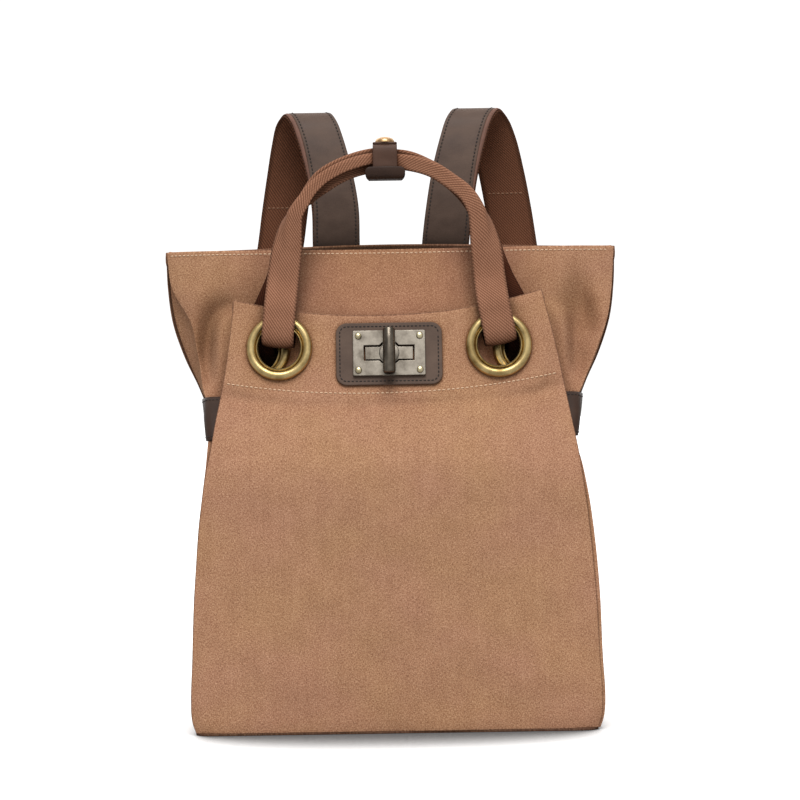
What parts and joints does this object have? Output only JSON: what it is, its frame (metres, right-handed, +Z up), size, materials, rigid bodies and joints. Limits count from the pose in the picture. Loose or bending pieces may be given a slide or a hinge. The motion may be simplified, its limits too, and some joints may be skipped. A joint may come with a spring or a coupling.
{
  "type": "backpack",
  "caption": "Canvas and leather backpack with a flared open top, a front panel closed by a turn lock, webbing carry handles through brass eyelets, and shoulder straps.",
  "frame": {"origin": "middle of the base, on the surface the bag stands on", "axes": "+Z up, the front panel faces -Y, the shoulder straps are on the +Y side, +X is to the right seen from the front"},
  "size_m": [0.383, 0.1992, 0.525],
  "materials": {
    "canvas": "heathered tan cotton canvas, matt",
    "webbing": "brown twill cotton webbing, matt",
    "leather": "taupe brown fine-grained leather, satin",
    "dark_leather": "dark brown leather, satin",
    "brass": "antique brass, polished on the high places",
    "nickel": "antique nickel, brushed, dark in the recesses"
  },
  "bodies": {
    "bag": {"sack_front": "canvas", "sack_back": "canvas", "sack_base": "canvas", "front_panel": "canvas", "handle_front": "webbing", "handle_rear": "webbing", "handle_keeper": "leather", "keeper_snap": "brass", "gusset_left": "canvas", "side_tab_left": "dark_leather", "strap_leather_left": "leather", "strap_webbing_left": "webbing", "eyelet_front_left": "brass", "eyelet_rear_left": "brass", "gusset_right": "canvas", "side_tab_right": "dark_leather", "strap_leather_right": "leather", "strap_webbing_right": "webbing", "eyelet_front_right": "brass", "eyelet_rear_right": "brass", "lock_patch": "leather", "lock_plate": "nickel", "lock_post": "nickel", "lock_rivet_top_left": "brass", "lock_rivet_bottom_left": "brass", "lock_rivet_top_right": "brass", "lock_rivet_bottom_right": "brass"},
    "turn_bar": {"lock_bar": "nickel"}
  },
  "joints": [
    {"name": "lock_turn", "type": "hinge", "parent": "bag", "child": "turn_bar", "pos_m": [-0.002, -0.02374, 0.31], "axis": [0.0021, -0.973, 0.2309], "range_deg": [0, 90]}
  ]
}
